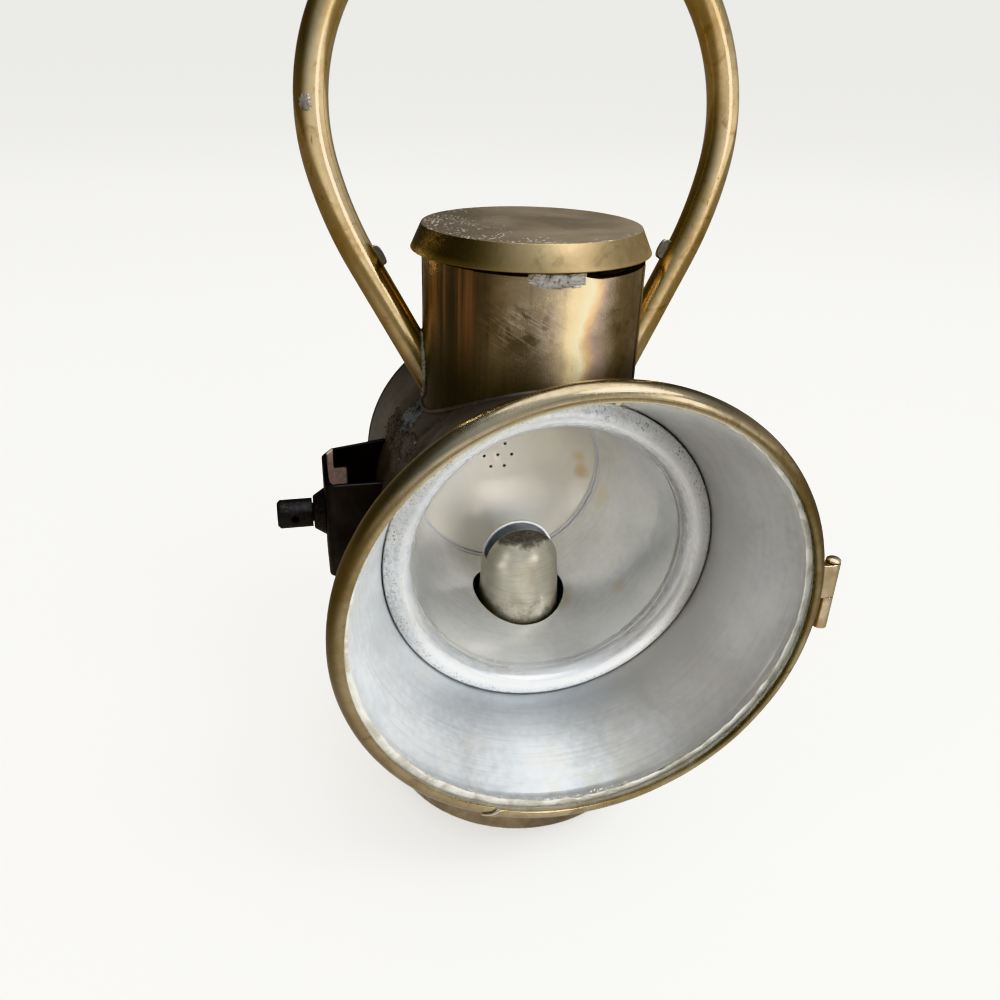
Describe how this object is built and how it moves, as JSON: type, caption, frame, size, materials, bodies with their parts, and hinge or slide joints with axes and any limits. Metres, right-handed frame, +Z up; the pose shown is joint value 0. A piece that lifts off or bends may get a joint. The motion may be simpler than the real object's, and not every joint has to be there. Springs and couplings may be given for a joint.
{
  "type": "railroad headlight lantern",
  "caption": "Hand-carried oil lantern: level drum on an upright base, flared bell with a hinged round glass door, a vented cap, an arched tube handle and a side clamp socket.",
  "frame": {"origin": "centre of the font's flat underside, on the upright body's axis", "axes": "+Z up, -Y the way the bell faces, -X towards the bracket socket, +X towards the door hinge"},
  "size_m": [0.2045, 0.1677, 0.381],
  "materials": {
    "tarnished_brass": "dull, tarnished",
    "bronzed_brass": "dark bronzed, semi-gloss",
    "neck_brass": "dark, brushed and heat-stained",
    "cap_brass": "dull, dusty",
    "handle_brass": "worn satin",
    "rim_brass": "worn, bright on edges",
    "tinned_sheet": "brushed tin",
    "burner_metal": "satin, sooty at the slot",
    "clear_glass": "clear",
    "old_putty": "dry, chalky",
    "wick_cotton": "woven, charred at the end",
    "black_iron": "blackened"
  },
  "bodies": {
    "font": {"font_can": "tarnished_brass", "font_top": "tarnished_brass", "burner_collar": "tarnished_brass", "burner_gallery": "tarnished_brass", "burner_dome": "burner_metal", "wick_tube": "tarnished_brass"},
    "wick": {"wick": "wick_cotton"},
    "wick_raiser": {"wick_shaft": "tarnished_brass", "wick_knob": "tarnished_brass"},
    "lantern": {"body_can": "bronzed_brass", "font_seat": "tarnished_brass", "drum": "bronzed_brass", "drum_back": "bronzed_brass", "neck": "neck_brass", "bell": "bronzed_brass", "throat_ring": "tinned_sheet", "reflector_bowl": "tinned_sheet", "rear_dish": "tinned_sheet", "bell_knuckle": "rim_brass", "hinge_pin": "rim_brass", "handle": "handle_brass", "handle_lugs": "handle_brass", "bracket_socket": "bronzed_brass", "clamp_boss": "bronzed_brass"},
    "door": {"door_bezel": "rim_brass", "door_glass": "clear_glass", "door_putty": "old_putty", "door_nib": "rim_brass", "door_knuckle": "rim_brass"},
    "cap": {"cap": "cap_brass", "cap_collar": "tarnished_brass"},
    "clamp_pad": {"clamp_pad": "black_iron"},
    "clamp_screw": {"clamp_screw": "black_iron"}
  },
  "joints": [
    {"name": "font_release", "type": "slide", "parent": "font", "child": "lantern", "axis": [0, 0, 1], "range_m": [0, 0.118]},
    {"name": "wick_turn", "type": "hinge", "parent": "font", "child": "wick_raiser", "pos_m": [0, 0.0068, 0.071], "axis": [-1, 0, 0], "range_deg": [-91.67, 68.75]},
    {"name": "wick_lift", "type": "slide", "parent": "font", "child": "wick", "axis": [0, 0, 1], "range_m": [-0.008, 0.006]},
    {"name": "door_swing", "type": "hinge", "parent": "lantern", "child": "door", "pos_m": [0.0955, -0.0926, 0.137], "axis": [0, 0, 1], "range_deg": [0, 120]},
    {"name": "cap_lift", "type": "slide", "parent": "lantern", "child": "cap", "axis": [0, 0, 1], "range_m": [0, 0.022]},
    {"name": "clamp_move", "type": "slide", "parent": "lantern", "child": "clamp_pad", "axis": [-1, 0, 0], "range_m": [0, 0.0065]},
    {"name": "clamp_turn", "type": "hinge", "parent": "clamp_pad", "child": "clamp_screw", "pos_m": [-0.0913, 0.005, 0.137], "axis": [-1, 0, 0], "range_deg": [0, 1170]}
  ],
  "couplings": [
    {"joint": "wick_lift", "follows": "wick_turn", "m_per_rad": 0.005},
    {"joint": "clamp_turn", "follows": "clamp_move", "rad_per_m": 3141.6}
  ]
}
